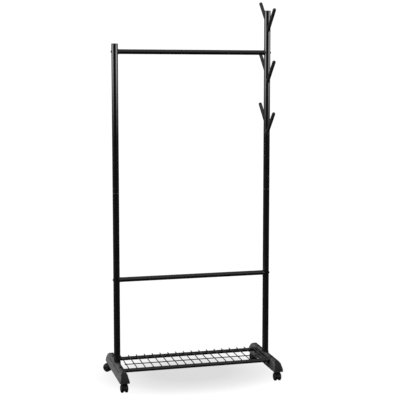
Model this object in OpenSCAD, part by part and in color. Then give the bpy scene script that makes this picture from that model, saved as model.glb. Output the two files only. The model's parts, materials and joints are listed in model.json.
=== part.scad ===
// Rolling clothes rack with a hanging rail, a hook post and a wire shelf.
// +Z is up and -Y is the front. The origin is on the floor, midway between
// the two posts.

/* [Frame] */
// Distance between the centre lines of the two posts
post_spacing = 722; // [680:2:780]
// Outside diameter of the posts
post_d = 30; // [28:0.5:31]
// Wall thickness of every tube
tube_wall = 1; // [0.8:0.1:1.4]
// Height of the seam between the two sections of a post
seam_z = 880; // [700:5:1000]
// Height of the left post's top
left_top_z = 1556; // [1550:1:1600]
// Height of the right post's top
right_top_z = 1714; // [1700:1:1760]
// Outside diameter of the hanging rail and the lower crossbar
rail_d = 22; // [20:0.5:23]
// Height of the hanging rail's centre line
rail_z = 1520; // [1500:1:1527]
// Height of the lower crossbar's centre line
crossbar_z = 478; // [350:1:600]

/* [Hooks] */
// Outside diameter of a hook arm
hook_d = 16; // [14:0.5:17]
// Distance of a hook tip's centre from the post's centre line
hook_reach = 99; // [85:1:125]
// Angle of a hook arm above the horizontal
hook_angle = 45; // [40:1:50]
// Height where the axis of the top front arm leaves the post
hook_top_z = 1627; // [1610:1:1640]
// Height from one pair of hooks to the next
hook_pitch = 237; // [225:1:245]
// Height of a rear arm above the front arm of its pair
hook_stagger = 41; // [35:1:50]

/* [Feet] */
// Length of a foot from front to back
foot_l = 406; // [396:2:420]
// Width of a foot
foot_w = 46; // [44:1:50]
// Height of a foot from its underside to its top
foot_h = 47; // [46:1:50]
// Height of a foot's underside above the floor
foot_z = 46; // [45:1:50]
// Wall thickness of the moulded foot
foot_wall = 3; // [2.5:0.5:4]
// Radius of the rounded top at each end of a foot
foot_end_r = 50; // [46:1:56]

/* [Shelf] */
// Outside diameter of the shelf tubes
shelf_d = 18; // [16:0.5:19]
// Height of the shelf tubes' centre lines
shelf_z = 77; // [76:1:78]
// Distance between the centre lines of the shelf tubes
shelf_spacing = 198; // [185:1:204]
// Diameter of the shelf wires
wire_d = 4.5; // [3.5:0.5:5]
// Number of cross wires
wire_count = 18; // [12:1:18]
// Distance between neighbouring cross wires
wire_pitch = 38.4; // [30:0.2:38.4]
// Length of a cross wire behind the rear tube's centre line
wire_overhang = 13; // [8:1:16]
// Distance of the long wire in front of the middle of the shelf
long_wire_y = 24; // [0:1:60]

/* [Casters] */
// Diameter of the caster wheels
wheel_d = 38; // [36:1:38]
// Overall width of the two wheels of a caster
caster_w = 35.6; // [34:0.2:38]
// Distance of a caster's stem from the middle of the foot
stem_y = 156; // [150:1:158]
// Distance from the stem's axis to the wheels' axle
trail = 20; // [19:0.5:21]
// Swivel of the front casters, 0 with the wheels ahead of the stem
front_swivel = 0; // [-180:1:180]
// Swivel of the rear left caster
rear_left_swivel = 229; // [0:1:360]
// Swivel of the rear right caster
rear_right_swivel = 188; // [0:1:360]

/* [Hidden] */
$fn = 64;
clear = 0.05;               // radial clearance of a part that slides in
over = 1;                   // extra length of a cut past a face
post_x = post_spacing / 2;
post_id = post_d - 2 * tube_wall;
foot_floor = 6;             // thickness of the floor under a post
post_bottom = foot_z + 13;
spigot_l = 60;
spigot_d = post_id - 2 * clear;
neck_l = 8;
cap_t = 3;
plug_l = 16;
edge_r = 1.2;               // rounding of the caps' rims

rail_id = rail_d - 2 * tube_wall;
fitting_gap = 4;            // length of a fitting's collar at its thinnest
fitting_plug = 25;
rail_half = post_x - post_d / 2 - fitting_gap;
m6_d = 6;
m6_head_d = 12;
m6_head_h = 3.6;
m6_key = 4.6;
m6_key_depth = 2.2;
m6_l = post_d + fitting_gap + 16;

insert_l = 28;
m8_d = 8;
m8_hole = 8.4;
m8_head = 15;
m8_head_h = 5;
washer_d = 24;
washer_t = 1.6;
washer_z = post_bottom - foot_floor - washer_t;

hook_l = hook_reach / cos(hook_angle);
hook_neck = 0.2;            // step in radius from a hook arm down to its welded root
hook_root = post_d / 2 / cos(hook_angle) + hook_d / 2 * tan(hook_angle) + 3;

foot_ridge_r = 17;          // radius of the round top of a foot's section
foot_corner_r = 10;         // radius of a foot's corners seen from above
foot_skirt = 8;             // height of the upright lower edge of a foot
flank_in = 1.2;             // depth of the sloping sides inside the round top
socket_wall = 2.5;          // wall of the collar round a post

shelf_y = shelf_spacing / 2;
shelf_end = 11;             // length of a shelf tube past the post's line
recess_d = 16;              // recess of a shelf screw in the foot's top
recess_floor = shelf_z + shelf_d / 2 + 1.5;
screw_d = 4;
screw_head = 9;
wire_z = shelf_z + (shelf_d + wire_d) / 2 + clear;

boss_d = 17;
stem_d = 8;
stem_top = foot_z + 28;
socket_d = 9;
ring_h = 3;
collar_d = 14;
groove = 1.6;               // width of the groove along a foot's sides

axle_d = 5;
axle_z = wheel_d / 2;
axle_l = 30;
web_t = 9.4;                // thickness of the housing between the wheels
gap = 0.5;                  // gap between a wheel and the housing
wheel_in = web_t / 2 + gap; // distance of a wheel's inner face from the middle
tread_out = 14;
hood_w = 19;
hood_in = wheel_d / 2 + 1.2;
hood_out = hood_in + 2.1;
hood_top = foot_z - 1.6;
stem_foot = hood_top - 13;

FRONT_LEFT = [-1, -1, front_swivel];
FRONT_RIGHT = [1, -1, front_swivel];
REAR_LEFT = [-1, 1, rear_left_swivel];
REAR_RIGHT = [1, 1, rear_right_swivel];
CASTERS = [FRONT_LEFT, FRONT_RIGHT, REAR_LEFT, REAR_RIGHT];
FRONT = -1;
REAR = 1;
LEFT = -1;
RIGHT = 1;

// Points of an arc from angle a0 to a1, n steps
function arc(x, y, r, a0, a1, n = 8) =
  [for (i = [0:n]) let (a = a0 + (a1 - a0) * i / n) [x + r * cos(a), y + r * sin(a)]];

// Cylinder along X, centred on the origin
module rod_x(d, l) {
  rotate([0, 90, 0])
    cylinder(d = d, h = l, center = true);
}

module at_post(side) {
  translate([side * post_x, 0, 0])
    children();
}

// ---- posts ----

// Hole through both walls of a post for a rail bolt
module bolt_hole(z) {
  translate([0, 0, z])
    rod_x(m6_d, post_d + 2 * over);
}

module post_lower(side) {
  bore_top = seam_z - neck_l;
  color("#1b1b1d")
  at_post(side)
  difference() {
    union() {
      translate([0, 0, post_bottom])
        cylinder(d = post_d, h = seam_z - post_bottom);
      cylinder_between(spigot_d, seam_z, seam_z + spigot_l);
    }
    cylinder_between(post_id, post_bottom - over, bore_top);
    translate([0, 0, bore_top])
      cylinder(d1 = post_id, d2 = spigot_d - 2 * tube_wall, h = neck_l);
    cylinder_between(spigot_d - 2 * tube_wall, seam_z, seam_z + spigot_l + over);
    bolt_hole(crossbar_z);
  }
}

// Vertical cylinder from height z0 to z1
module cylinder_between(d, z0, z1) {
  translate([0, 0, z0])
    cylinder(d = d, h = z1 - z0);
}

module post_upper(side, top) {
  color("#1b1b1d")
  at_post(side)
  difference() {
    cylinder_between(post_d, seam_z, top - cap_t);
    cylinder_between(post_id, seam_z - over, top);
    bolt_hole(rail_z);
  }
}

module post_cap(side, top) {
  rim = post_d / 2;
  color("#151516")
  at_post(side)
  translate([0, 0, top - cap_t]) {
    rotate_extrude()
      polygon(concat([[0, 0], [rim, 0]],
                     arc(rim - edge_r, cap_t - edge_r, edge_r, 0, 90),
                     [[0, cap_t]]));
    cylinder_between(spigot_d, -plug_l, 0);
  }
}

module post_base_inserts() {
  color("#2a2a2c")
  for (side = [LEFT, RIGHT])
    at_post(side)
    difference() {
      cylinder_between(spigot_d, post_bottom, post_bottom + insert_l);
      cylinder_between(m8_d, post_bottom - over, post_bottom + insert_l + over);
    }
}

module foot_bolts() {
  color("silver")
  for (side = [LEFT, RIGHT])
    at_post(side) {
      translate([0, 0, washer_z - m8_head_h])
        cylinder(d = m8_head, h = m8_head_h, $fn = 6);
      cylinder_between(m8_d, washer_z - over, post_bottom + insert_l - 2 * over);
    }
}

module foot_washers() {
  color("silver")
  for (side = [LEFT, RIGHT])
    at_post(side)
    difference() {
      cylinder_between(washer_d, washer_z, washer_z + washer_t);
      cylinder_between(m8_d, washer_z - over, washer_z + washer_t + over);
    }
}

// ---- hanging rail and lower crossbar ----

module rail(z) {
  color("#1b1b1d")
  translate([0, 0, z])
  difference() {
    rod_x(rail_d, 2 * rail_half);
    rod_x(rail_id, 2 * rail_half + 2 * over);
  }
}

// Collar that seats on the post, with a plug inside the end of the rail
module rail_fitting(side, z) {
  collar_l = post_x - rail_half;
  plug_in = rail_half - fitting_plug;
  color("#111112")
  translate([0, 0, z])
  difference() {
    union() {
      translate([side * (rail_half + collar_l / 2), 0, 0])
        rod_x(rail_d + 1, collar_l);
      translate([side * (plug_in + (fitting_plug + over) / 2), 0, 0])
        rod_x(rail_id - 2 * clear, fitting_plug + over);
    }
    at_post(side)
      cylinder(d = post_d, h = 2 * rail_d, center = true);
    translate([side * (post_x + post_d / 2 - m6_l / 2), 0, 0])
      rod_x(m6_d, m6_l);
  }
}

// Round-headed bolt through a post into a fitting
module rail_bolt(side, z) {
  rim = m6_head_d / 2;
  dome_r = (rim * rim + m6_head_h * m6_head_h) / (2 * m6_head_h);
  half = asin(rim / dome_r);
  translate([side * (post_x + post_d / 2), 0, z])
  rotate([0, side * 90, 0]) {
    difference() {
      rotate_extrude()
        polygon(concat([[0, 0]], arc(0, m6_head_h - dome_r, dome_r, 90 - half, 90)));
      translate([0, 0, m6_head_h - m6_key_depth])
        cylinder(d = m6_key, h = m6_key_depth + over, $fn = 6);
    }
    cylinder_between(m6_d, over - m6_l, over / 4);
  }
}

module rail_bolts() {
  color("#1b1b1d")
  for (side = [LEFT, RIGHT], z = [rail_z, crossbar_z])
    rail_bolt(side, z);
}

// ---- hooks on the right post ----

// Places an arm along +Z: pair 0 is the top one
module hook_frame(pair, end) {
  z = hook_top_z - pair * hook_pitch + (end > 0 ? hook_stagger : 0);
  translate([post_x, 0, z - post_d / 2 * tan(hook_angle)])
    rotate([-end * (90 - hook_angle), 0, 0])
      children();
}

module hook_arm(pair, end) {
  z = hook_top_z - pair * hook_pitch;
  color("#1b1b1d")
  difference() {
    hook_frame(pair, end)
    difference() {
      union() {
        cylinder(d = hook_d - 2 * hook_neck, h = hook_root);
        cylinder_between(hook_d, hook_root, hook_l);
      }
      translate([0, 0, -over])
        cylinder(d = hook_d - 2 * tube_wall, h = hook_l + 2 * over);
    }
    translate([post_x, 0, z])
      cylinder(d = post_d, h = 6 * post_d, center = true);
  }
}

module hook_cap(pair, end) {
  plug_d = hook_d - 2 * tube_wall - 2 * clear;
  color("#151516")
  hook_frame(pair, end)
  translate([0, 0, hook_l]) {
    rotate_extrude()
      polygon(concat([[0, 0]], arc(0, 0, hook_d / 2, 0, 90, 12)));
    translate([0, 0, -plug_l])
      cylinder(d = plug_d, h = plug_l);
  }
}

// ---- feet ----

// Outline of a foot seen from the side: round top corners
module foot_side(l, h, r) {
  intersection() {
    translate([-l / 2, 0])
      square([l, h]);
    union() {
      translate([r - l / 2, 0])
        square([l - 2 * r, h]);
      for (s = [-1, 1])
        translate([s * (l / 2 - r), h - r])
          circle(r = r);
    }
  }
}

// Outline of a foot seen from above: round corners
module foot_plan(w, l, r) {
  square([w, l - 2 * r], center = true);
  square([w - 2 * r, l], center = true);
  for (sx = [-1, 1], sy = [-1, 1])
    translate([sx * (w / 2 - r), sy * (l / 2 - r)])
      circle(r = r);
}

// Upper end of the sloping side of a section, just inside its round top
function flank_top(w, h, r) =
  let (rise = h - r - foot_skirt,
       a = acos(r / norm([w / 2, rise])) - atan(2 * rise / w))
  [(r - flank_in) * cos(a), h - r + (r - flank_in) * sin(a)];

// Section across a foot: upright lower edges, sloping sides and a round top
module foot_section(w, h, r) {
  top = flank_top(w, h, r);
  polygon([[-w / 2, 0], [w / 2, 0], [w / 2, foot_skirt], top,
           [-top[0], top[1]], [-w / 2, foot_skirt]]);
  translate([0, h - r])
    circle(r = r);
}

// Body of a foot, smaller by an inset all round, with its underside at z = 0
module foot_body(inset, h) {
  w = foot_w - 2 * inset;
  l = foot_l - 2 * inset;
  intersection() {
    rotate([90, 0, 90])
      linear_extrude(height = w + 2, center = true)
        foot_side(l, h, foot_end_r - inset);
    linear_extrude(height = h)
      foot_plan(w, l, foot_corner_r - inset);
    rotate([90, 0, 0])
      linear_extrude(height = l + 2, center = true)
        foot_section(w, h, foot_ridge_r - inset);
  }
}

// Material inside the shell: post socket, tube sockets and caster sockets
module foot_bosses() {
  washer_room = post_bottom - foot_z - foot_floor;
  cylinder_between(post_d + 2 * foot_wall, washer_room, foot_h);
  for (s = [FRONT, REAR]) {
    translate([-foot_w / 2, s * shelf_y - shelf_d / 2 - foot_wall, shelf_z - foot_z - 12])
      cube([foot_w, shelf_d + 2 * foot_wall, foot_h]);
    translate([0, s * stem_y, 0])
      cylinder(d = boss_d, h = foot_h);
  }
  for (y = [-foot_l / 4 - 20, -foot_l / 8, foot_l / 8, foot_l / 4 + 20])
    translate([-foot_w / 2, y - 1, 12])
      cube([foot_w, 2, foot_h]);
}

// Groove along both sides and a shallow panel in the inner side
module foot_grooves() {
  top = flank_top(foot_w, foot_h, foot_ridge_r);
  lean = atan((foot_w / 2 - top[0]) / (top[1] - foot_skirt));
  panel = [foot_wall / 2, 58, 14];
  panel_z = foot_skirt + panel[2] / 2 + 2;
  for (s = [-1, 1])
    translate([s * (foot_ridge_r + foot_wall - groove), 0, foot_h - foot_ridge_r + 2])
      cube([2 * foot_wall, foot_l - foot_w - 14, groove], center = true);
  translate([(panel_z - foot_skirt) * tan(lean) - foot_w / 2, panel[1] - foot_l / 2, panel_z])
    rotate([0, lean, 0])
      cube(panel, center = true);
}

// Foot with its inner side towards -X
module foot_shape() {
  translate([0, 0, foot_z])
  difference() {
    union() {
      foot_body(0, foot_h);
      cylinder_between(post_d + 2 * socket_wall, foot_h / 2, foot_h);
    }
    difference() {
      translate([0, 0, -over])
        foot_body(foot_wall, foot_h - foot_wall + over);
      foot_bosses();
    }
    cylinder_between(post_d + 2 * clear, post_bottom - foot_z, foot_h + 2 * over);
    cylinder_between(m8_hole, 0, foot_h);
    for (s = [FRONT, REAR]) {
      translate([shelf_end + over - foot_w, s * shelf_y, shelf_z - foot_z])
        rod_x(shelf_d + 2 * clear, 2 * foot_w);
      translate([0, s * shelf_y, 0]) {
        cylinder_between(recess_d, recess_floor - foot_z, foot_h + over);
        cylinder_between(screw_d, shelf_z - foot_z, foot_h);
      }
      translate([0, s * stem_y, 0])
        cylinder_between(socket_d, -over, stem_top - foot_z + over);
    }
    foot_grooves();
  }
}

module foot(side) {
  color("#2b2b2d")
  at_post(side)
    rotate([0, 0, side > 0 ? 0 : 180])
      foot_shape();
}

// ---- shelf ----

module shelf_tube(end) {
  l = post_spacing + 2 * shelf_end;
  color("#1b1b1d")
  translate([0, end * shelf_y, shelf_z])
  difference() {
    rod_x(shelf_d, l);
    rod_x(shelf_d - 2 * tube_wall, l + 2 * over);
    for (side = [LEFT, RIGHT])
      at_post(side)
        cylinder(d = screw_d, h = shelf_d);
  }
}

module shelf_cross_wires() {
  first = -(wire_count - 1) / 2 * wire_pitch;
  front_end = -shelf_y - shelf_d / 4;
  color("#1b1b1d")
  for (i = [0:wire_count - 1])
    translate([first + i * wire_pitch, front_end, wire_z])
      rotate([-90, 0, 0])
        cylinder(d = wire_d, h = shelf_y + wire_overhang - front_end, $fn = 24);
}

module shelf_long_wire() {
  l = (wire_count - 1) * wire_pitch + 2 * wire_d;
  color("#1b1b1d")
  translate([0, -long_wire_y, wire_z - wire_d - clear])
    rod_x(wire_d, l, $fn = 24);
}

module shelf_screws() {
  color("#1b1b1d")
  for (side = [LEFT, RIGHT], s = [FRONT, REAR])
    at_post(side)
    translate([0, s * shelf_y, recess_floor]) {
      difference() {
        cylinder(d1 = screw_head, d2 = screw_head - 3, h = 3);
        for (a = [0, 90])
          rotate([0, 0, a])
            translate([0, 0, 3])
              cube([screw_head / 2, 1.2, 2.4], center = true);
      }
      cylinder_between(screw_d, shelf_z - recess_floor + 2, over);
    }
}

// ---- casters ----

// Caster frame: stem axis on the floor, wheels towards -Y before the swivel
module caster_frame(c) {
  translate([c[0] * post_x, c[1] * stem_y, 0])
    rotate([0, 0, c[2]])
      children();
}

module stem(c) {
  bead = 2;
  color("silver")
  caster_frame(c)
  difference() {
    union() {
      cylinder_between(stem_d, stem_foot, stem_top);
      cylinder_between(collar_d, hood_top + 0.3, foot_z);
      cylinder_between(stem_d + 1.6, stem_foot + bead, stem_foot + 2 * bead);
    }
    difference() {
      cylinder_between(stem_d + 1, stem_top - 3 - ring_h, stem_top - 3);
      cylinder_between(stem_d - 1, stem_top - 4 - ring_h, stem_top);
    }
  }
}

// Split rings that grip the sockets in the feet
module stem_rings() {
  color("silver")
  for (c = CASTERS)
    caster_frame(c)
    difference() {
      cylinder_between(socket_d, stem_top - 3 - ring_h + clear, stem_top - 3 - clear);
      cylinder_between(stem_d - 1, stem_top - 9, stem_top);
      translate([0, socket_d / 2, stem_top - 5])
        cube([1.5, socket_d, 10], center = true);
    }
}

// Shape of the web between the wheels, seen from the side
module web_outline() {
  translate([-trail, axle_z])
    circle(r = 9.5);
  polygon([[-trail - 9, axle_z + 3], [-trail - 3, axle_z + 20.5], [-4, hood_top - 5],
           [5, hood_top - 12], [4, axle_z + 8], [-trail + 8, axle_z - 5]]);
}

module housing(c) {
  color("#161617")
  caster_frame(c)
  difference() {
    union() {
      rotate([90, 0, 90])
        linear_extrude(height = web_t, center = true)
          web_outline();
      difference() {
        union() {
          cylinder_between(boss_d, axle_z + 4, hood_top);
          hood();
        }
        for (s = [-1, 1])
          translate([s * (web_t / 2 + 10), -trail, axle_z])
            rod_x(2 * hood_in, 20);
      }
    }
    translate([0, -trail, axle_z])
      rod_x(axle_d, web_t + 2 * over);
    cylinder_between(stem_d + 2 * clear, stem_foot - 0.5, foot_z);
    cylinder_between(stem_d + 1.8, stem_foot + 1.9, stem_foot + 4.1);
  }
}

// Curved cover over both wheels
module hood() {
  back = 62;                // degrees past the top towards the stem
  ahead = 112;              // degrees past the top away from the stem
  translate([0, -trail, axle_z])
    rotate([0, 90, 0])
      rotate([0, 0, 180 - back])
        rotate_extrude(angle = back + ahead)
          translate([hood_in - 3, -hood_w / 2])
            square([hood_out - hood_in + 3, hood_w]);
}

module axle(c) {
  color("silver")
  caster_frame(c)
  translate([0, -trail, axle_z])
    rod_x(axle_d, axle_l);
}

// Wheel with a domed outer side; s is the side of the caster it is on
module wheel(c, s) {
  r = wheel_d / 2;
  out = caster_w / 2;
  dome_r = (r * r + (out - tread_out) * (out - tread_out)) / (2 * (out - tread_out));
  rise = asin((r - 0.8) / dome_r);
  bore_r = axle_d / 2 + clear;
  color("#0f0f10")
  caster_frame(c)
  translate([0, -trail, axle_z])
    mirror([s < 0 ? 1 : 0, 0, 0])
    rotate([90, 0, 90])
    rotate_extrude()
      polygon(concat([[bore_r, wheel_in], [r - 0.8, wheel_in], [r, wheel_in + 0.8],
                      [r, tread_out - 0.6]],
                     arc(0, out - dome_r, dome_r, 90 - rise, 90, 10),
                     [[0, axle_l / 2 + 0.3], [bore_r, axle_l / 2 + 0.3]]));
}

foot(LEFT);  // foot_left
foot(RIGHT);  // foot_right
post_lower(LEFT);  // post_left_lower
post_upper(LEFT, left_top_z);  // post_left_upper
post_lower(RIGHT);  // post_right_lower
post_upper(RIGHT, right_top_z);  // post_right_upper
post_cap(LEFT, left_top_z);  // post_cap_left
post_cap(RIGHT, right_top_z);  // post_cap_right
post_base_inserts();
foot_bolts();
foot_washers();
rail(rail_z);  // hanging_rail
rail(crossbar_z);  // lower_crossbar
rail_fitting(LEFT, rail_z);  // rail_fitting_left
rail_fitting(RIGHT, rail_z);  // rail_fitting_right
rail_fitting(LEFT, crossbar_z);  // crossbar_fitting_left
rail_fitting(RIGHT, crossbar_z);  // crossbar_fitting_right
rail_bolts();
shelf_tube(FRONT);  // shelf_tube_front
shelf_tube(REAR);  // shelf_tube_rear
shelf_cross_wires();
shelf_long_wire();
shelf_screws();
hook_arm(0, FRONT);  // hook_arm_top_front
hook_arm(0, REAR);  // hook_arm_top_rear
hook_arm(1, FRONT);  // hook_arm_middle_front
hook_arm(1, REAR);  // hook_arm_middle_rear
hook_arm(2, FRONT);  // hook_arm_lower_front
hook_arm(2, REAR);  // hook_arm_lower_rear
hook_cap(0, FRONT);  // hook_cap_top_front
hook_cap(0, REAR);  // hook_cap_top_rear
hook_cap(1, FRONT);  // hook_cap_middle_front
hook_cap(1, REAR);  // hook_cap_middle_rear
hook_cap(2, FRONT);  // hook_cap_lower_front
hook_cap(2, REAR);  // hook_cap_lower_rear
stem_rings();
stem(FRONT_LEFT);  // stem_front_left
stem(FRONT_RIGHT);  // stem_front_right
stem(REAR_LEFT);  // stem_rear_left
stem(REAR_RIGHT);  // stem_rear_right
housing(FRONT_LEFT);  // housing_front_left
housing(FRONT_RIGHT);  // housing_front_right
housing(REAR_LEFT);  // housing_rear_left
housing(REAR_RIGHT);  // housing_rear_right
axle(FRONT_LEFT);  // axle_front_left
axle(FRONT_RIGHT);  // axle_front_right
axle(REAR_LEFT);  // axle_rear_left
axle(REAR_RIGHT);  // axle_rear_right
wheel(FRONT_LEFT, -1);  // wheel_front_left_a
wheel(FRONT_LEFT, 1);  // wheel_front_left_b
wheel(FRONT_RIGHT, -1);  // wheel_front_right_a
wheel(FRONT_RIGHT, 1);  // wheel_front_right_b
wheel(REAR_LEFT, -1);  // wheel_rear_left_a
wheel(REAR_LEFT, 1);  // wheel_rear_left_b
wheel(REAR_RIGHT, -1);  // wheel_rear_right_a
wheel(REAR_RIGHT, 1);  // wheel_rear_right_b
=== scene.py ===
"""Rolling clothes rack: camera, light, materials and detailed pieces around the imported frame."""
import json
import math

import bmesh
import bpy
import numpy as np
from mathutils import Matrix, Vector, noise


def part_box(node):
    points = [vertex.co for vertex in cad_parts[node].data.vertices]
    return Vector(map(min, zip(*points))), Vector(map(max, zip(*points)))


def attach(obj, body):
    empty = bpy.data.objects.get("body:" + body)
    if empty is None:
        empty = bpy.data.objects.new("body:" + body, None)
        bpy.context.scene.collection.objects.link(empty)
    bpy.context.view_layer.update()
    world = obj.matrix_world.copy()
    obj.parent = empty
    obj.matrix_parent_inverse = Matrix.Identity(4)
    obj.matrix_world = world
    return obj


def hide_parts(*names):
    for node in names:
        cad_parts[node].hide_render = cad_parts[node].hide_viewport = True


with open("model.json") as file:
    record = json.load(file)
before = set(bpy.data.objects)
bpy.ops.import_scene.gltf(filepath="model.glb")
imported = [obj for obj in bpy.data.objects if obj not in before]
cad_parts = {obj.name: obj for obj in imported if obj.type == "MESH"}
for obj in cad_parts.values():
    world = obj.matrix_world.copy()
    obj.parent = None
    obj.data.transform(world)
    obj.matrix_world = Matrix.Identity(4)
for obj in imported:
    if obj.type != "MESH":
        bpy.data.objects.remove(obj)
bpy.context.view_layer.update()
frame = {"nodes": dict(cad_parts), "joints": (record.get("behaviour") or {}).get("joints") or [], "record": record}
MM = 0.001

# Camera: place in metres, turn and pitch in degrees, and the lens of a 36 mm sensor
CAMERA_PLACE = (-1.141, -4.480, 1.396)
CAMERA_TURN = -14.72
CAMERA_PITCH = 5.75
CAMERA_LENS = 90.0
CAMERA_SHIFT = -0.05
CAMERA_SENSOR = 36

# Studio: radiance of the parts of the surroundings that the black tubes mirror
SKY = 0.6
SOFTBOX = 6.5            # tall boxes beside the rack
STRIP = 1.5              # long box above the camera's side
DARK = 0.05
PAPER = 1.05             # background that the camera sees
DIFFUSE = 0.04           # share of the surroundings that matt surfaces receive

# Floor in metres: sheet radius, and the middle and half lengths of the patch of painted shadow
FLOOR_RADIUS = 2.6
SHADOW_PATCH_PLACE = (0.0, 0.05, 0)
SHADOW_PATCH_SIZE = (0.58, 0.42, 1)

# Detail sizes in metres
RIM_CUT = 0.35 * MM      # rounding of a tube's end
LIP_LOW, LIP_HIGH = 4 * MM, 6 * MM       # step between the rim lip and the side of a foot
LIP_DEPTH = 0.9 * MM
GROOVE_UP = 32.5 * MM    # side groove of a foot, above its lower edge
GROOVE_HALF = 2 * MM
GROOVE_DEPTH = 3 * MM
ARCH_BACK = 99 * MM      # middle of the curved line at a foot's nose, behind the foot's end
ARCH_HALF, ARCH_UP = 69 * MM, 35 * MM    # half length and height of that line
ARCH_DEPTH = 3 * MM
PANEL_DEPTH = 0.6 * MM   # sink of the panel inside the curved line
FLANK_FROM = 12 * MM     # a foot's sides begin this far from its middle
NOSE = 30 * MM           # length of a foot's ends
FACING = 0.2             # least outward part of the normal on a side or an end
GROOVE_FADE = (120 * MM, 135 * MM)       # where the side groove runs out, from the middle
FOOT_VOXEL = 1.0 * MM
HOUSING_ROUND, STEM_ROUND, FITTING_ROUND = 0.5 * MM, 0.25 * MM, 0.4 * MM
WHEEL_EDGE = 1.2 * MM    # rounding from a wheel's inner side to its tread
TREAD_ROUND = 9 * MM     # size of the rounding from a wheel's tread to its side
BEAD = 1.3 * MM          # radius of a weld bead

CORNERS = ("front_left", "front_right", "rear_left", "rear_right")
SIDES = ("a", "b")


# ---- camera and studio ----

def make_camera():
    data = bpy.data.cameras.new("camera")
    data.lens = CAMERA_LENS
    data.sensor_width = CAMERA_SENSOR
    data.shift_y = CAMERA_SHIFT
    data.clip_end = 50
    camera = bpy.data.objects.new("camera", data)
    camera.location = CAMERA_PLACE
    camera.rotation_euler = (math.radians(90 - CAMERA_PITCH), 0, math.radians(CAMERA_TURN))
    bpy.context.scene.collection.objects.link(camera)
    bpy.context.scene.camera = camera


def make_world():
    """Boxes beside the rack, one above the camera and a dim sky, which the tubes mirror.

    The rest is dark, and the camera itself sees white paper.
    """
    world = bpy.data.worlds.new("studio")
    world.use_nodes = True
    bpy.context.scene.world = world
    tree = world.node_tree
    tree.nodes.clear()
    link = tree.links.new

    def math_node(kind, a, b=0.0):
        n = tree.nodes.new("ShaderNodeMath")
        n.operation = kind
        for socket, value in zip(n.inputs, (a, b)):
            if isinstance(value, float):
                socket.default_value = value
            else:
                link(value, socket)
        return n.outputs[0]

    def step(value, low, high):
        n = tree.nodes.new("ShaderNodeMapRange")
        n.interpolation_type = "SMOOTHSTEP"
        link(value, n.inputs["Value"])
        n.inputs["From Min"].default_value = low
        n.inputs["From Max"].default_value = high
        return n.outputs["Result"]

    # z is the sine of the angle above the horizon; cosine is 1 towards the camera's side
    place = tree.nodes.new("ShaderNodeTexCoord")
    split = tree.nodes.new("ShaderNodeSeparateXYZ")
    link(place.outputs["Generated"], split.inputs[0])
    x, y, z = split.outputs
    front = Vector((CAMERA_PLACE[0], CAMERA_PLACE[1], 0)).normalized()
    along = math_node("ADD", math_node("MULTIPLY", x, front.x), math_node("MULTIPLY", y, front.y))
    flat = math_node("SQRT", math_node("SUBTRACT", 1.0, math_node("MULTIPLY", z, z)))
    cosine = math_node("DIVIDE", along, math_node("MAXIMUM", flat, 0.001))
    beside = math_node("SUBTRACT", 1.0, step(cosine, 0.56, 0.86))
    ahead = step(cosine, -0.35, 0.1)
    above = step(z, -0.06, 0.025)
    low_part = math_node("SUBTRACT", 1.0, step(z, 0.3, 0.5))
    boxes = math_node("MULTIPLY", math_node("MULTIPLY", beside, ahead), low_part)
    boxes = math_node("MULTIPLY", boxes, SOFTBOX)
    sky = math_node("MULTIPLY", step(z, 0.35, 0.85), SKY)
    band = math_node("MULTIPLY", step(z, 0.12, 0.3), math_node("SUBTRACT", 1.0, step(z, 0.4, 0.6)))
    band = math_node("MULTIPLY", math_node("MULTIPLY", band, ahead), STRIP)
    light = math_node("ADD", math_node("ADD", sky, boxes), band)
    light = math_node("MULTIPLY", light, above)
    light = math_node("ADD", light, DARK)

    seen = tree.nodes.new("ShaderNodeLightPath")
    matt = math_node("MULTIPLY", seen.outputs["Is Diffuse Ray"], 1 - DIFFUSE)
    light = math_node("MULTIPLY", light, math_node("SUBTRACT", 1.0, matt))
    shade = tree.nodes.new("ShaderNodeBackground")
    link(light, shade.inputs["Strength"])
    paper = tree.nodes.new("ShaderNodeBackground")
    paper.inputs["Color"].default_value = (1, 1, 1, 1)
    paper.inputs["Strength"].default_value = PAPER
    mix = tree.nodes.new("ShaderNodeMixShader")
    link(seen.outputs["Is Camera Ray"], mix.inputs[0])
    link(shade.outputs[0], mix.inputs[1])
    link(paper.outputs[0], mix.inputs[2])
    out = tree.nodes.new("ShaderNodeOutputWorld")
    link(mix.outputs[0], out.inputs["Surface"])
    bpy.context.scene.view_settings.view_transform = "Standard"


def make_light(name, place, target, size, power):
    data = bpy.data.lights.new(name, "AREA")
    data.shape = "DISK"
    data.size = size
    data.energy = power
    light = bpy.data.objects.new(name, data)
    light.location = place
    light.rotation_euler = (Vector(target) - Vector(place)).to_track_quat("-Z", "Y").to_euler()
    light.visible_glossy = False
    bpy.context.scene.collection.objects.link(light)


# ---- materials ----

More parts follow.
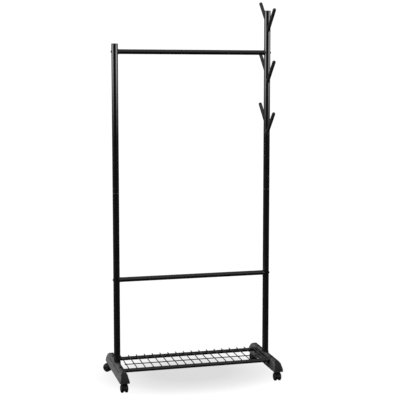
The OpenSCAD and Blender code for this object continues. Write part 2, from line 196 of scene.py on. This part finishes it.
class Paint:
    """A Principled material built from procedural textures, in the piece's own metres."""

    def __init__(self, name, **plain):
        self.material = bpy.data.materials.new(name)
        self.material.use_nodes = True
        self.tree = self.material.node_tree
        self.shader = self.tree.nodes["Principled BSDF"]
        for socket, value in plain.items():
            self.shader.inputs[socket.replace("_", " ")].default_value = value
        self.place = self.tree.nodes.new("ShaderNodeTexCoord").outputs["Object"]

    def link(self, a, b):
        self.tree.links.new(a, b)

    def noise(self, scale, detail=2.0, roughness=0.5, stretch=None):
        n = self.tree.nodes.new("ShaderNodeTexNoise")
        n.inputs["Scale"].default_value = scale
        n.inputs["Detail"].default_value = detail
        n.inputs["Roughness"].default_value = roughness
        place = self.place
        if stretch:
            mapping = self.tree.nodes.new("ShaderNodeMapping")
            mapping.inputs["Scale"].default_value = stretch
            self.link(place, mapping.inputs["Vector"])
            place = mapping.outputs[0]
        self.link(place, n.inputs["Vector"])
        return n.outputs["Fac"]

    def cells(self, scale):
        n = self.tree.nodes.new("ShaderNodeTexVoronoi")
        n.inputs["Scale"].default_value = scale
        self.link(self.place, n.inputs["Vector"])
        return n.outputs["Distance"]

    def ramp(self, value, *stops):
        """Colour ramp; each stop is (position, grey or colour)."""
        n = self.tree.nodes.new("ShaderNodeValToRGB")
        elements = n.color_ramp.elements
        while len(elements) < len(stops):
            elements.new(0.5)
        for element, (position, colour) in zip(elements, stops):
            element.position = position
            rgb = (colour,) * 3 if isinstance(colour, float) else colour
            element.color = (*rgb, 1)
        self.link(value, n.inputs["Fac"])
        return n.outputs["Color"]

    def span(self, value, low, high):
        """The value's middle range, 0.3 to 0.7, spread from low to high."""
        n = self.tree.nodes.new("ShaderNodeMapRange")
        self.link(value, n.inputs["Value"])
        ends = {"From Min": 0.3, "From Max": 0.7, "To Min": low, "To Max": high}
        for socket, number in ends.items():
            n.inputs[socket].default_value = number
        return n.outputs["Result"]

    def blend(self, share, a, b):
        n = self.tree.nodes.new("ShaderNodeMix")
        n.data_type = "RGBA"
        self.link(share, n.inputs["Factor"])
        self.link(a, n.inputs["A"])
        self.link(b, n.inputs["B"])
        return n.outputs["Result"]

    def bump(self, height, distance, below=None):
        n = self.tree.nodes.new("ShaderNodeBump")
        n.inputs["Distance"].default_value = distance
        self.link(height, n.inputs["Height"])
        if below:
            self.link(below, n.inputs["Normal"])
        return n.outputs["Normal"]

    def wear(self, low=0.52, high=0.60):
        """1 on sharp outer edges, 0 elsewhere."""
        n = self.tree.nodes.new("ShaderNodeNewGeometry")
        return self.ramp(n.outputs["Pointiness"], (low, 0.0), (high, 1.0))

    def hollows(self, reach, low, high):
        """0 in hollows and corners within reach, 1 in the open."""
        n = self.tree.nodes.new("ShaderNodeAmbientOcclusion")
        n.samples = 8
        n.inputs["Distance"].default_value = reach
        return self.ramp(n.outputs["AO"], (low, 0.0), (high, 1.0))

    def finish(self, colour, rough, normal):
        self.link(colour, self.shader.inputs["Base Color"])
        self.link(rough, self.shader.inputs["Roughness"])
        self.link(normal, self.shader.inputs["Normal"])
        return self.material


def powder_coat():
    p = Paint("black_powder_coat", Specular_IOR_Level=0.6)
    colour = p.ramp(p.noise(14, 4), (0.3, 0.0040), (0.7, 0.0065))
    edges = p.ramp(p.noise(220, 3), (0.45, 0.010), (0.7, 0.022))
    rough = p.span(p.noise(9, 3), 0.07, 0.10)
    peel = p.bump(p.noise(1500, 1), 0.000003)
    return p.finish(p.blend(p.wear(0.53, 0.6), colour, edges), rough, peel)


def wire_coat():
    p = Paint("black_wire", Specular_IOR_Level=0.4)
    colour = p.ramp(p.noise(40, 3), (0.3, 0.014), (0.7, 0.026))
    rough = p.span(p.noise(160, 4), 0.24, 0.38)
    return p.finish(colour, rough, p.bump(p.noise(900, 2), 0.00003))


def foot_plastic():
    p = Paint("foot_plastic", Specular_IOR_Level=0.02)
    mottle = p.noise(420, 4, 0.65)
    broad = p.ramp(p.noise(85, 3), (0.35, 0.0), (0.65, 1.0))
    colour = p.blend(broad, p.ramp(mottle, (0.35, 0.028), (0.68, 0.052)),
                     p.ramp(mottle, (0.35, 0.042), (0.68, 0.080)))
    pale = p.ramp(p.noise(500, 2), (0.4, 0.075), (0.7, 0.12))
    # painted shade: a near-black colour for hollows, creases and joints
    painted_hollow_shade = p.ramp(p.noise(260, 3), (0.4, 0.003), (0.7, 0.007))
    colour = p.blend(p.wear(0.515, 0.58), colour, pale)
    # painted shade: ambient occlusion lays that near-black colour into hollows and corners within 16 mm
    colour = p.blend(p.hollows(16 * MM, 0.72, 0.97), painted_hollow_shade, colour)
    rough = p.span(p.noise(650, 3), 0.45, 0.65)
    grain = p.bump(p.cells(1100), 0.00012)
    skin = p.bump(p.noise(300, 3), 0.00015, grain)
    return p.finish(colour, rough, skin)


def black_plastic():
    p = Paint("black_plastic", Specular_IOR_Level=0.45)
    colour = p.ramp(p.noise(90, 4), (0.3, 0.006), (0.7, 0.012))
    rough = p.span(p.noise(380, 3), 0.38, 0.52)
    return p.finish(colour, rough, p.bump(p.cells(1600), 0.00005))


def caster_plastic():
    p = Paint("caster_plastic", Specular_IOR_Level=0.15)
    colour = p.ramp(p.noise(120, 4), (0.3, 0.003), (0.7, 0.007))
    edges = p.ramp(p.noise(700, 2), (0.4, 0.010), (0.7, 0.022))
    rough = p.span(p.noise(300, 4), 0.28, 0.45)
    return p.finish(p.blend(p.wear(), colour, edges), rough, p.bump(p.noise(1300, 2), 0.00004))


def wheel_plastic():
    """Hard nylon; the attribute "tread" is 1 where the wheel rolls and has picked up dust."""
    p = Paint("wheel_plastic", Specular_IOR_Level=0.15)
    tread = p.tree.nodes.new("ShaderNodeAttribute")
    tread.attribute_name = "tread"
    clean = p.ramp(p.noise(150, 4), (0.3, 0.003), (0.7, 0.006))
    dusty = p.ramp(p.noise(520, 5, 0.7), (0.35, 0.004), (0.72, 0.016))
    colour = p.blend(tread.outputs["Fac"], clean, dusty)
    rough = p.span(p.noise(420, 4), 0.30, 0.50)
    scuffs = p.bump(p.noise(800, 4, 0.7, (1, 1, 0.25)), 0.00006)
    return p.finish(colour, rough, scuffs)


def black_screw():
    p = Paint("black_screws", Metallic=0.6)
    colour = p.ramp(p.noise(300, 4), (0.3, 0.012), (0.7, 0.03))
    edges = p.ramp(p.noise(900, 2), (0.4, 0.06), (0.7, 0.14))
    rough = p.span(p.noise(700, 3), 0.25, 0.42)
    return p.finish(p.blend(p.wear(), colour, edges), rough, p.bump(p.noise(1800, 2), 0.00002))


def zinc_plate():
    p = Paint("zinc_steel", Metallic=1.0)
    colour = p.ramp(p.noise(160, 5, 0.6), (0.3, (0.50, 0.50, 0.48)), (0.7, (0.68, 0.67, 0.63)))
    rough = p.span(p.noise(900, 3, 0.5, (1, 1, 8)), 0.22, 0.40)
    return p.finish(colour, rough, p.bump(p.noise(1500, 2, 0.5, (1, 1, 6)), 0.00002))


def floor_paper():
    """Pale studio paper that glows evenly, with a painted soft shadow: its glow is a little darker in a patch
    under the rack.
    """
    p = Paint("floor_paper", Specular_IOR_Level=0.1, Emission_Strength=1.0)
    # painted shadow: a soft patch under the rack where the floor's glow is darker
    shadow_patch = p.tree.nodes.new("ShaderNodeMapping")
    shadow_patch.vector_type = "TEXTURE"
    shadow_patch.inputs["Location"].default_value = SHADOW_PATCH_PLACE
    shadow_patch.inputs["Scale"].default_value = SHADOW_PATCH_SIZE
    p.link(p.place, shadow_patch.inputs["Vector"])
    shadow_falloff = p.tree.nodes.new("ShaderNodeTexGradient")
    shadow_falloff.gradient_type = "SPHERICAL"
    p.link(shadow_patch.outputs[0], shadow_falloff.inputs["Vector"])
    # painted shadow: the glow drops from 1.0 at the patch's edge to 0.68 at its middle
    glow_with_painted_shadow = p.ramp(shadow_falloff.outputs["Fac"], (0.0, 1.0), (0.15, 0.98), (0.4, 0.80), (0.7, 0.68))
    tooth = p.noise(900, 2)
    p.link(glow_with_painted_shadow, p.shader.inputs["Emission Color"])
    paper = p.ramp(tooth, (0.3, 0.05), (0.7, 0.07))
    return p.finish(paper, p.span(tooth, 0.85, 0.95), p.bump(tooth, 0.00005))


def make_materials():
    makers = {"black_powder_coat": powder_coat, "black_wire": wire_coat,
              "foot_plastic": foot_plastic, "black_plastic": black_plastic,
              "caster_plastic": caster_plastic, "wheel_plastic": wheel_plastic,
              "black_screws": black_screw, "zinc_steel": zinc_plate}
    return {slot: make() for slot, make in makers.items()}


MATERIALS = make_materials()
SLOT_OF = {s["node"]: s["material_slot"] for s in frame["record"]["subparts"]}
BODY_OF = {n: body for body, nodes in frame["record"]["behaviour"]["bodies"].items() for n in nodes}


# ---- pieces ----

def add_piece(name, mesh, body, slot, *replaced):
    """Links a finished mesh as a piece that rides on a body and has a slot's material."""
    mesh.materials.clear()
    mesh.materials.append(MATERIALS[slot])
    piece = bpy.data.objects.new(name, mesh)
    bpy.context.scene.collection.objects.link(piece)
    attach(piece, body)
    if replaced:
        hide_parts(*replaced)
    return piece


def node_mesh(node):
    """Copy of a node's mesh as one welded surface, without its stored normals."""
    bm = bmesh.new()
    bm.from_mesh(frame["nodes"][node].data)
    bmesh.ops.remove_doubles(bm, verts=bm.verts, dist=2e-6)
    mesh = bpy.data.meshes.new(node)
    bm.to_mesh(mesh)
    bm.free()
    return mesh


def modified(mesh, *modifiers):
    """The mesh after modifiers, each given as (kind, {setting: value})."""
    holder = bpy.data.objects.new("holder", mesh)
    bpy.context.scene.collection.objects.link(holder)
    for kind, settings in modifiers:
        modifier = holder.modifiers.new(kind, kind)
        for key, value in settings.items():
            setattr(modifier, key, value)
    shape = holder.evaluated_get(bpy.context.evaluated_depsgraph_get())
    result = bpy.data.meshes.new_from_object(shape)
    bpy.data.objects.remove(holder)
    return result


def shade(mesh, angle=35):
    """Smooth shading that keeps edges sharper than the angle."""
    mesh.polygons.foreach_set("use_smooth", [True] * len(mesh.polygons))
    mesh.set_sharp_from_angle(angle=math.radians(angle))
    return mesh


def soften(node, width):
    """Piece that is a node with its hard edges rounded off."""
    bevel = ("BEVEL", {"width": width, "segments": 3, "limit_method": "ANGLE",
                       "angle_limit": math.radians(40), "use_clamp_overlap": True})
    mesh = shade(modified(node_mesh(node), bevel), 40)
    return add_piece(node + "_shell", mesh, BODY_OF[node], SLOT_OF[node], node)


def mould(node, voxel, rounds):
    """Mesh of a node as a moulding: every edge and corner is slightly rounded."""
    return modified(node_mesh(node), ("REMESH", {"mode": "VOXEL", "voxel_size": voxel}),
                    ("SMOOTH", {"factor": 0.5, "iterations": rounds}))


def vertices(mesh):
    co = np.empty(len(mesh.vertices) * 3)
    mesh.vertices.foreach_get("co", co)
    normals = np.empty(len(mesh.vertices) * 3)
    mesh.vertices.foreach_get("normal", normals)
    return co.reshape(-1, 3), normals.reshape(-1, 3)


def smoothstep(low, high, value):
    t = np.clip((value - low) / (high - low), 0, 1)
    return t * t * (3 - 2 * t)


def make_foot(side):
    """Moulded foot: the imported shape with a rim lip, side grooves and a curved line at the nose.

    u runs outwards from the foot's middle, v along it and w up from its lower edge.
    """
    node = "foot_" + side
    low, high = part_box(node)
    middle = (high.x + low.x) / 2
    turn = 1 if side == "right" else -1
    mesh = mould(node, FOOT_VOXEL, 5)
    co, normals = vertices(mesh)
    u = turn * (co[:, 0] - middle)
    v = co[:, 1]
    w = co[:, 2] - low.z
    nu, nv = turn * normals[:, 0], normals[:, 1]
    out_side = (np.sign(u) * nu > FACING) & (np.abs(u) > FLANK_FROM)
    out_end = (np.sign(v) * nv > FACING) & (np.abs(v) > high.y - NOSE)
    inside = out_side & (u < 0)
    skin = (out_side | out_end) & (w > 1 * MM)
    sink = LIP_DEPTH * smoothstep(LIP_LOW, LIP_HIGH, w) * skin
    groove = np.exp(-((w - GROOVE_UP) / GROOVE_HALF) ** 2)
    sink += GROOVE_DEPTH * groove * out_side * (1 - smoothstep(*GROOVE_FADE, np.abs(v)))
    arch = np.hypot((np.abs(v) - high.y + ARCH_BACK) / ARCH_HALF, w / ARCH_UP)
    sink += ARCH_DEPTH * np.exp(-((arch - 1) / 0.06) ** 2) * inside
    sink += PANEL_DEPTH * (1 - smoothstep(0.9, 1.0, arch)) * inside * (w > 7 * MM)
    co -= normals * sink[:, None]
    mesh.vertices.foreach_set("co", co.ravel())
    mesh = shade(modified(mesh, ("SMOOTH", {"factor": 0.4, "iterations": 2}),
                          ("DECIMATE", {"ratio": 0.35})), 60)
    return add_piece(node + "_moulding", mesh, "root", "foot_plastic", node)


def lathe(profile, frame_matrix, segments=64, marks=None):
    """Mesh of a closed profile of (along, radius) points turned round the local Z axis.

    marks, one number a point, go into the attribute "tread".
    """
    count = len(profile)
    points, faces = [], []
    for k in range(segments):
        a = 2 * math.pi * k / segments
        for along, radius in profile:
            local = Vector((radius * math.cos(a), radius * math.sin(a), along))
            points.append(frame_matrix @ local)
        for i in range(count):
            j = (i + 1) % count
            n = (k + 1) % segments
            faces.append((k * count + i, n * count + i, n * count + j, k * count + j))
    mesh = bpy.data.meshes.new("lathe")
    mesh.from_pydata(points, [], faces)
    if marks:
        values = mesh.attributes.new("tread", "FLOAT", "POINT")
        values.data.foreach_set("value", list(marks) * segments)
    bm = bmesh.new()
    bm.from_mesh(mesh)
    bmesh.ops.recalc_face_normals(bm, faces=bm.faces)
    bm.to_mesh(mesh)
    bm.free()
    return mesh


def arc(along, radius, r, a0, a1, steps):
    """Points (along, radius) of a circular arc, angles in degrees from the along axis."""
    angles = [math.radians(a0 + (a1 - a0) * i / steps) for i in range(steps + 1)]
    return [(along + r * math.cos(a), radius + r * math.sin(a)) for a in angles]


def rim(along, outer, inner, direction, cut):
    """Points round a tube's rounded end; direction, 1 or -1, points out of the tube."""
    back = along - direction * cut
    lap = [(back - direction * 3 * cut, outer)]
    lap += [(back + direction * cut * math.sin(a), outer - cut * (1 - math.cos(a)))
            for a in (math.radians(d) for d in (0, 30, 60, 90))]
    lap += [(along, inner + 0.2 * cut), (back, inner)]
    return lap


def turned(start, end, profile, segments=64):
    """Lathed mesh whose profile starts at start and runs towards end."""
    turn = (end - start).to_track_quat("Z", "Y").to_matrix().to_4x4()
    return lathe(profile, Matrix.Translation(start) @ turn, segments)


def bore_of(node, axis):
    """Least distance of a node's vertices from its box's middle line along an axis.

    That is the bore of a tube with open ends. A closed end would make it 0.
    """
    low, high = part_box(node)
    co, _ = vertices(frame["nodes"][node].data)
    away = co - np.array((low + high) / 2)
    away[:, axis] = 0
    return float(np.linalg.norm(away, axis=1).min())


def make_tube(node, axis):
    """Piece for a tube node that lies along an axis, with rounded rims."""
    low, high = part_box(node)
    start = (low + high) / 2
    end = start.copy()
    across = (axis + 1) % 3
    outer, inner = (high[across] - low[across]) / 2, bore_of(node, axis)
    start[axis], end[axis] = low[axis], high[axis]
    length = (end - start).length
    profile = rim(0.0, outer, inner, -1, RIM_CUT)[::-1] + rim(length, outer, inner, 1, RIM_CUT)
    mesh = shade(turned(start, end, profile), 40)
    return add_piece(node + "_shell", mesh, "root", SLOT_OF[node], node)


def make_lower_post(side):
    """Lower section of a post with the reduced spigot that the upper section slides over."""
    node = "post_{}_lower".format(side)
    low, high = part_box(node)
    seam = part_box("post_{}_upper".format(side))[0].z
    co, _ = vertices(frame["nodes"][node].data)
    middle = (low + high) / 2
    away = np.linalg.norm(co[:, :2] - np.array(middle)[:2], axis=1)
    spigot = co[:, 2] > seam + 5 * MM
    outer, sleeve, bore = away.max(), away[spigot].max(), away[spigot].min()
    inner = away[co[:, 2] < seam - 20 * MM].min()
    length, shoulder, cut = high.z - low.z, seam - low.z, RIM_CUT
    profile = rim(0.0, outer, inner, -1, cut)[::-1] + [(shoulder - 4 * cut, outer)]
    profile += rim(shoulder, outer, sleeve, 1, cut)[1:-2]
    profile += [(shoulder, sleeve), (length - cut, sleeve), (length, sleeve - cut), (length, bore),
                (shoulder - 4 * MM, bore), (shoulder - 9 * MM, inner)]
    start, end = (Vector((middle.x, middle.y, z)) for z in (low.z, high.z))
    mesh = shade(turned(start, end, profile), 40)
    return add_piece(node + "_shell", mesh, "root", SLOT_OF[node], node)


def joint_named(name):
    return next(j for j in frame["joints"] if j["name"] == name)


def make_wheel(corner, s):
    """Caster wheel: crowned tread, domed side with a step, and a sunk hub.

    It has no bore. It is solid to its axis, and the hidden end of the axle lies inside it.
    """
    name = "wheel_{}_{}".format(corner, s)
    joint = joint_named("spin_{}_{}".format(corner, s))
    centre = Vector(joint["pos_m"])
    axis = Vector(joint["axis"]).normalized() * (-1 if s == "a" else 1)
    co, _ = vertices(frame["nodes"][name].data)
    along = (co - np.array(centre)) @ np.array(axis)
    radial = np.linalg.norm((co - np.array(centre)) - along[:, None] * np.array(axis), axis=1)
    inner, outer = along.min(), along.max()
    r = radial.max()
    core = radial.min()      # about 0, because the CAD bore is closed at its outer end
    width = outer - inner
    tread_end = inner + 0.70 * width
    step_r = 0.62 * r
    hub_r = 0.36 * r
    ledge = inner + 0.6 * MM
    profile = [(inner, core), (inner, 0.42 * r), (ledge, 0.45 * r), (ledge, 0.80 * r),
               (inner, 0.83 * r), (inner, r - WHEEL_EDGE)]
    profile += arc(inner + WHEEL_EDGE, r - WHEEL_EDGE, WHEEL_EDGE, 180, 100, 5)
    profile += [(inner + t * (tread_end - inner), r) for t in (0.35, 0.5, 0.65)]
    bulge = outer - tread_end + 0.4 * MM
    for a in (math.radians(d) for d in (6, 16, 28, 40, 52, 62)):
        side = tread_end - 1.2 * MM + bulge * math.sin(a) ** 1.15
        profile.append((side, r - TREAD_ROUND + TREAD_ROUND * math.cos(a) - 0.1 * MM))
    profile += [(outer - 0.9 * MM, step_r + 0.2 * MM), (outer - 1.3 * MM, step_r - 0.4 * MM),
                (outer - 0.5 * MM, step_r - 1.2 * MM)]
    profile += [(outer, hub_r + 1.2 * MM), (outer, hub_r), (outer - 0.6 * MM, hub_r - 0.5 * MM)]
    profile += [(outer - 0.7 * MM, core + 1.2 * MM), (outer - 1.0 * MM, core)]
    marks = [1.0 if radius > r - 2.0 * MM else 0.0 for _, radius in profile]
    turn = axis.to_track_quat("Z", "Y").to_matrix().to_4x4()
    mesh = shade(lathe(profile, Matrix.Translation(centre) @ turn, 72, marks), 40)
    return add_piece(name + "_tyre", mesh, name, "wheel_plastic", name)


def tube_along(points, radius, wobble, segments=10):
    """Closed ring of small sections along a closed line of points, for weld beads."""
    count = len(points)
    bm = bmesh.new()
    rings = []
    for i, point in enumerate(points):
        tangent = (points[(i + 1) % count] - points[i - 1]).normalized()
        across = tangent.cross(Vector((0, 0, 1))).normalized()
        up = across.cross(tangent)
        r = radius * (1 + wobble * math.sin(i * 2.1) * noise.noise(point * 400))
        ring = []
        for k in range(segments):
            a = 2 * math.pi * k / segments
            ring.append(bm.verts.new(point + r * (across * math.cos(a) + up * math.sin(a))))
        rings.append(ring)
    for i in range(count):
        a, b = rings[i], rings[(i + 1) % count]
        for k in range(segments):
            n = (k + 1) % segments
            bm.faces.new((a[k], a[n], b[n], b[k]))
    bmesh.ops.recalc_face_normals(bm, faces=bm.faces)
    mesh = bpy.data.meshes.new("bead")
    bm.to_mesh(mesh)
    bm.free()
    return mesh


def hook_axis(mount):
    point = Vector(mount["pos_m"])
    return point, Vector(mount["axis"]).normalized(), mount["dims"]["r_mm"] * MM


def make_hook_weld(mount, post_r):
    """Weld bead where a hook arm meets the post, along the line where the two tubes cross."""
    point, axis, r = hook_axis(mount)
    side = Vector((1, 0, 0))
    up = axis.cross(side)
    points = []
    count = 56
    for k in range(count):
        a = 2 * math.pi * k / count
        start = point + r * (side * math.cos(a) + up * math.sin(a))
        x = start.x - point.x
        depth = math.sqrt(post_r ** 2 - x ** 2)
        t = (math.copysign(depth, axis.y) - start.y) / axis.y
        points.append(start + axis * t)
    mesh = shade(tube_along(points, BEAD, 0.5), 60)
    return add_piece("weld_" + mount["name"], mesh, "root", "black_powder_coat")


def rounded_rod(start, end, r, segments=20):
    """Solid rod with rounded ends."""
    length = (end - start).length
    tip = 0.45 * r
    half = [(0, 0.0), (0, r - tip)] + arc(tip, r - tip, tip, 170, 90, 3)
    half += arc(length - tip, r - tip, tip, 90, 10, 3) + [(length, r - tip), (length, 0.0)]
    mesh = turned(start, end, half, segments)
    bm = bmesh.new()
    bm.from_mesh(mesh)
    bmesh.ops.remove_doubles(bm, verts=bm.verts, dist=1e-7)
    bmesh.ops.dissolve_degenerate(bm, edges=bm.edges, dist=1e-7)
    bm.to_mesh(mesh)
    bm.free()
    return mesh


def joined(meshes, name):
    """One mesh of several, which are removed."""
    bm = bmesh.new()
    for mesh in meshes:
        bm.from_mesh(mesh)
        bpy.data.meshes.remove(mesh)
    whole = bpy.data.meshes.new(name)
    bm.to_mesh(whole)
    bm.free()
    return whole


def wire_places():
    """X places of the cross wires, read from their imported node."""
    co, _ = vertices(frame["nodes"]["shelf_cross_wires"].data)
    xs = np.sort(co[:, 0])
    groups = np.split(xs, np.where(np.diff(xs) > 5 * MM)[0] + 1)
    return [float(g.min() + g.max()) / 2 for g in groups]


def make_shelf_wires():
    low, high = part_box("shelf_cross_wires")
    r = (high.z - low.z) / 2
    z = low.z + r
    rods = [rounded_rod(Vector((x, low.y, z)), Vector((x, high.y, z)), r) for x in wire_places()]
    add_piece("cross_wires", shade(joined(rods, "cross_wires"), 50), "root", "black_wire",
              "shelf_cross_wires")
    low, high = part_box("shelf_long_wire")
    z, y = (low.z + high.z) / 2, (low.y + high.y) / 2
    rod = rounded_rod(Vector((low.x, y, z)), Vector((high.x, y, z)), r)
    add_piece("long_wire", shade(rod, 50), "root", "black_wire", "shelf_long_wire")


def nugget(centre, size):
    """Small flattened weld nugget, a little uneven."""
    bm = bmesh.new()
    bmesh.ops.create_icosphere(bm, subdivisions=2, radius=1)
    for v in bm.verts:
        bulge = 1 + 0.25 * noise.noise(v.co * 1.7 + centre * 500)
        v.co = centre + Vector([c * s * bulge for c, s in zip(v.co, size)])
    mesh = bpy.data.meshes.new("nugget")
    bm.to_mesh(mesh)
    bm.free()
    return mesh


def make_shelf_welds():
    """Spot welds where the cross wires lie on the tubes and on the long wire."""
    low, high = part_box("shelf_cross_wires")
    r = (high.z - low.z) / 2
    rows = []
    for tube in ("shelf_tube_front", "shelf_tube_rear"):
        tube_low, tube_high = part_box(tube)
        rows.append(((tube_low.y + tube_high.y) / 2, low.z, (1.7 * r, 1.5 * r, 0.45 * r)))
    long_low, long_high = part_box("shelf_long_wire")
    rows.append(((long_low.y + long_high.y) / 2, low.z, (1.1 * r, 1.1 * r, 0.5 * r)))
    lumps = [nugget(Vector((x, y, z)), size) for x in wire_places() for y, z, size in rows]
    add_piece("shelf_welds", shade(joined(lumps, "shelf_welds"), 80), "root", "black_wire")


def make_pieces():
    for side in ("left", "right"):
        make_foot(side)
    for corner in CORNERS:
        soften("housing_" + corner, HOUSING_ROUND)
        soften("stem_" + corner, STEM_ROUND)
        for s in SIDES:
            make_wheel(corner, s)
    for side in ("left", "right"):
        make_lower_post(side)
        make_tube("post_{}_upper".format(side), 2)
        for place in ("rail", "crossbar"):
            soften("{}_fitting_{}".format(place, side), FITTING_ROUND)
    for node in ("hanging_rail", "lower_crossbar", "shelf_tube_front", "shelf_tube_rear"):
        make_tube(node, 0)
    low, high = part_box("post_right_upper")
    post_r = (high.x - low.x) / 2
    for mount in frame["record"]["mounts"]:
        if mount["kind"] == "pin":
            make_hook_weld(mount, post_r)
    make_shelf_wires()
    make_shelf_welds()


def paint_nodes():
    """Gives every carried-over node its slot's material."""
    for name, node in frame["nodes"].items():
        node.data.materials.clear()
        node.data.materials.append(MATERIALS[SLOT_OF[name]])


def make_floor():
    """Round sheet of paper under the rack, which takes no part in reflections or bounced light."""
    bm = bmesh.new()
    bmesh.ops.create_circle(bm, cap_ends=True, segments=96, radius=FLOOR_RADIUS)
    mesh = bpy.data.meshes.new("floor")
    bm.to_mesh(mesh)
    bm.free()
    mesh.materials.append(floor_paper())
    floor = bpy.data.objects.new("floor", mesh)
    floor.visible_glossy = False
    floor.visible_diffuse = False
    bpy.context.scene.collection.objects.link(floor)


make_camera()
make_world()
make_light("top_light", place=(0.3, 0.5, 3.4), target=(0, 0, 0), size=2.2, power=14)
make_light("left_light", place=(-3.2, 1.1, 0.75), target=(0, 0, 0.2), size=1.8, power=260)
make_floor()
paint_nodes()
make_pieces()
